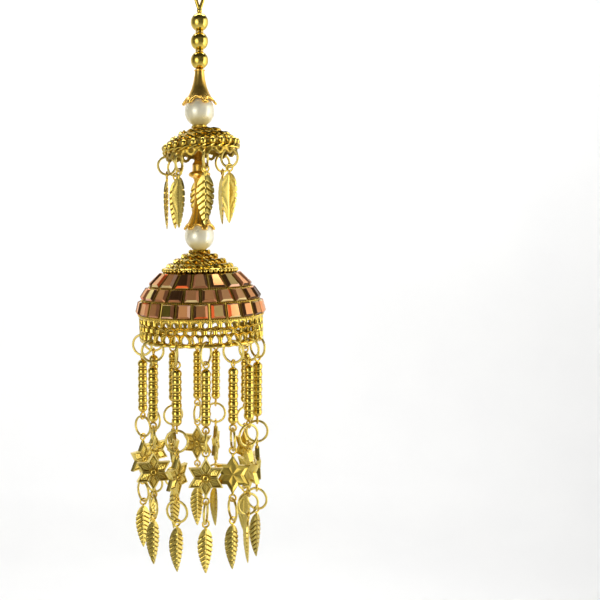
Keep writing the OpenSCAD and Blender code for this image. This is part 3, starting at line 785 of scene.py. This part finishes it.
starShape = dict(gap=0.12, gapDepth=0.4, border=0.4, swell=0.12, ditch=0.16, soft=0.1, top=0.7,
                 floor=0.2, field=0.42, hatch=0.52, hatchDepth=0.15, hatchDark=0.62,
                 hub=(1.35, 1.65), hubTop=0.5, hubDark=0.85, back=0.65, hollow=0.36, ridge=0.3,
                 backRim=(0.5, 0.66), rows=60, backRows=12, perHalf=14)


def smoothStep(x, low, high):
    t = np.clip((x - low) / (high - low), 0, 1)
    return t * t * (3 - 2 * t)


def star():
    # heights over a polar grid: outline radius R/2 / cos(60 - fold), a border round each point's
    # rhombus, a ditch inside it, and hatching across the field; the back is hollowed, with a low
    # ridge out to each point
    s, big = starShape, strand["starR"]
    a = np.linspace(0, 360, 12 * s["perHalf"], endpoint=False)[None]
    local = (a + 30) % 60 - 30
    fold, lr = np.abs(local), np.radians(local)
    facet = np.cos(np.radians(60 - fold))

    def spread(rho):
        # the radius at a share of the way out, and how far that is from the outline
        r = rho * 0.5 * big / facet
        return r, 0.5 * big - r * facet

    r, toEdge = spread(np.linspace(0, 1, s["rows"])[:, None])
    toSide = r * np.sin(np.radians(30 - fold))
    inner = np.minimum(toEdge, toSide)
    hatchAt = r * np.sin(lr) * 0.7 + r * np.cos(lr) * 0.71
    wave = np.abs((hatchAt / s["hatch"]) % 1 - 0.5) * 2
    into = smoothStep(inner, s["border"], s["border"] + s["soft"])
    fieldEdge = s["border"] + s["ditch"]
    field = into * smoothStep(inner, fieldEdge, fieldEdge + s["soft"])
    hatched = s["field"] - s["floor"] + s["hatchDepth"] * (wave - 0.4)
    z = s["top"] - into * (s["top"] - s["floor"]) + field * hatched
    z += s["swell"] * (1 - into) * np.sin(np.pi * np.clip(inner / s["border"], 0, 1))
    # painted shade in the ditch inside each border, along the hatching's grooves, in the gaps
    # between the points and on the hub
    dark = np.clip(into - field, 0, 1) + field * (1 - wave) * s["hatchDark"]
    gap = 1 - smoothStep(toSide, 0.3 * s["gap"], s["gap"])
    hub = smoothStep(r, *s["hub"])
    z = s["hubTop"] + (z - s["gapDepth"] * gap - s["hubTop"]) * hub
    dark = np.maximum(dark, gap) * hub + s["hubDark"] * (1 - hub)
    dark = 1.8 * dark - 0.8     # so that the open faces are pale

    rhoB = np.linspace(1, 0, s["backRows"])[:, None]
    rB, toEdgeB = spread(rhoB)
    hollow = smoothStep(toEdgeB, *s["backRim"])
    zB = -s["back"] + (s["hollow"] - s["ridge"] * (1 - fold / 30) * rhoB) * hollow
    rAll, zAll = np.concatenate([r, rB]), np.concatenate([z, zB])
    a = np.radians(a)
    # the back's hollow gets a little painted shade
    body = grid(np.stack([rAll * np.sin(a), -zAll, rAll * np.cos(a)], -1), False,
                np.concatenate([dark, 0.1 * hollow]))
    t = circle(24)
    bossPath = np.stack([0.72 * np.sin(t), np.full(24, -0.62), 0.72 * np.cos(t)], -1)
    parts = [body, tube(bossPath, 0.27, 8, True, (0, 1, 0))]
    parts += [ball((0.17, 0.17, 0.17), (1.3 * math.sin(k), -0.55, 1.3 * math.cos(k)), 6, 8)
              for k in np.radians(steps(12))]
    for way in (-1, 1):
        parts.append(place(eyeRing, 0, (0, 0, way * strand["starEye"])))
        parts.append(post([way * (big - d) for d in (0.9, 0.4, -0.1, -0.4)],
                          (0.42, 0.45, 0.45, 0.4)))
    return parts


starPart = join(star())
leafPart = leaf(strand["leaf"], strand["ribs"], strand["crease"])
# Each strand: its hole, its slide in it, and how its ring, star and leaf are turned
strandRows = [(0, 0.5, -32, 0, -20), (3, -0.6, 30, 8, 30), (5, 1, 10, 120, 100),
              (7, 0, -30, 92, 40), (14, -0.9, 20, 120, 150), (18, -0.9, -20, 80, 120),
              (-20, 0.4, 30, -20, 20), (-17, 0, -20, -70, -40), (-14, -0.8, 22, 40, 75),
              (-11, 0.9, -15, 50, 20), (-6, -0.5, -30, 12, 35), (-3, 0.8, 22, 88, 50)]
# The photo shows one of the front stars from its back, one slantwise, and two leaves turned
# the other way
starSeen, leafSeen = {3: 173, -3: 60}, {0: 19, -3: 30}
ringR = strand["ringR"]
barTop = eyeBelow(ringR)
secondRing = barTop + barLength + link["eye"] - linkDrop
starMid = secondRing + eyeBelow(ringR) + strand["starEye"]
thirdRing = starMid + strand["starEye"] + link["eye"] - linkDrop
leafTop = thirdRing + eyeBelow(ringR)
strandTop = zOf(holeLow - link["wire"] - link["hang"])
for n, (hole, slide, ringTurn, starTurn, leafTurn) in enumerate(strandRows):
    azimuth = large["holeStart"] + hole * step
    at = tipped(polar(large["hangR"], math.radians(azimuth + slide), strandTop),
                large["pivot"], large["tilt"])
    turn = azimuth + 90 + ringTurn
    thirdTurn = (starTurn + leafTurn) / 2 + 90
    parts = [held(ringR, turn, 200 + 31 * n),
             place(join(beadedBar(turn + 90, starTurn)), 0, (0, 0, -barTop)),
             place(held(ringR, starTurn + 90, 70 + 47 * n), 0, (0, 0, -secondRing)),
             place(starPart, starSeen.get(hole, starTurn), (0, 0, -starMid)),
             place(held(ringR, thirdTurn, 140 + 29 * n), 0, (0, 0, -thirdRing)),
             place(leafPart, leafSeen.get(hole, leafTurn), (0, 0, -leafTop))]
    name = f"{n + 1:02d}"
    make(f"strand{name}", place(join(parts), 0, at), gold, [f"strand_{name}"], sharp=38)
print("strands made")

# The loop's wire keeps its solid, and takes the gold
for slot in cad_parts["hanging_wire"].material_slots:
    slot.material = gold

# Stage, in metres: a pale floor that runs up into a round wall, with painted shade on the wall's
# front
stage = dict(floor=-0.6, radius=1.3, height=1.8, bend=0.35, cloud=9.0,
             pale=(0.86, 0.86, 0.86), paler=(0.9, 0.9, 0.89), frontShade=(0.32, 0.32, 0.32),
             wallFrom=0.05, wallGain=4.0, frontShadeTo=0.8, frontShadeGain=1.4)


def stageSurface():
    # a round floor that bends up into its wall: (r, z) along an arc, swept round the axis
    s = stage
    arc = np.linspace(0, np.pi / 2, 12)
    bend = np.stack([s["radius"] - s["bend"] + s["bend"] * np.sin(arc),
                     s["floor"] + s["bend"] * (1 - np.cos(arc))], -1)
    line = np.concatenate([[[0.001, s["floor"]]], bend, [[s["radius"], s["floor"] + s["height"]]]])
    points, quads, _ = lathe(line / mm, 72, False)
    mesh = bpy.data.meshes.new("studioFloor")
    mesh.from_pydata(points * mm, [], quads[:, ::-1])
    mesh.polygons.foreach_set("use_smooth", np.ones(len(mesh.polygons), bool))
    material, tree, spot = startMaterial("pale_floor")
    behind = tree.node("ShaderNodeSeparateXYZ", None, {"Vector": spot}, 1)
    above = tree.node("ShaderNodeSeparateXYZ", None, {"Vector": spot}, 2)
    pale = mixed(tree, noise(tree, spot, s["cloud"], 2.0), s["pale"], s["paler"])
    wall = tree.maths("MINIMUM", (above - (s["floor"] + s["wallFrom"])) * s["wallGain"], 1.0)
    # painted shade on the wall in front of the ornament, fading out towards the back
    front = tree.maths("MINIMUM", (s["frontShadeTo"] - behind) * s["frontShadeGain"], 1.0)
    endMaterial(tree, {"Base Color": mixed(tree, wall * front, pale, s["frontShade"]), "Roughness": 0.8})
    mesh.materials.append(material)
    floor = bpy.data.objects.new("studioFloor", mesh)
    bpy.context.scene.collection.objects.link(floor)


def softLight(name, azimuth, elevation, distance, size, power, shape, target=(0, 0, -0.1)):
    light = bpy.data.lights.new(name, "AREA")
    light.shape, light.size, light.energy = shape, size[0], power
    if shape in ("RECTANGLE", "ELLIPSE"):
        light.size_y = size[1]
    lamp = bpy.data.objects.new(name, light)
    a, e = math.radians(azimuth), math.radians(elevation)
    way = np.array([math.sin(a) * math.cos(e), -math.cos(a) * math.cos(e), math.sin(e)])
    lamp.location = np.array(target) + distance * way
    lamp.rotation_euler = (math.pi / 2 - e, 0, a)
    bpy.context.scene.collection.objects.link(lamp)


# Lights: on each side a wide soft one with a small core, and one on the wall behind
stageSurface()
softLight("leftUmbrella", -38, -4, 0.75, (0.68, 0.95), 1.95, "ELLIPSE")
softLight("leftCore", -38, 0, 0.72, (0.26, 0.38), 0.75, "ELLIPSE")
softLight("rightWindow", 84, -4, 0.7, (0.9, 1.2), 4.0, "RECTANGLE")
softLight("rightCore", 72, 0, 0.68, (0.26, 0.7), 1.3, "RECTANGLE")
softLight("backLight", 0, 42, 1.15, (0.8, 0.8), 12.5, "DISK", target=(0, 1.15, -0.15))
world = bpy.data.worlds.new("studio")
world.use_nodes = True
sky = world.node_tree.nodes["Background"].inputs
sky["Color"].default_value, sky["Strength"].default_value = (1, 1, 1, 1), 0.05
bpy.context.scene.world = world
bpy.context.scene.view_settings.view_transform = "Standard"
print("stage and lights made")

# The photograph's view: close in front of the ornament, looking a little down
view = dict(away=0.25, height=-0.0873, down=4.88, lens=45, sensor=36, shift=0.1675)
camera = bpy.data.cameras.new("photoView")
camera.lens, camera.sensor_width, camera.shift_x = view["lens"], view["sensor"], view["shift"]
viewer = bpy.data.objects.new("photoView", camera)
viewer.location = (0, -view["away"], view["height"])
viewer.rotation_euler = (math.radians(90 - view["down"]), 0, 0)
bpy.context.scene.collection.objects.link(viewer)
bpy.context.scene.camera = viewer

bpy.context.view_layer.update()
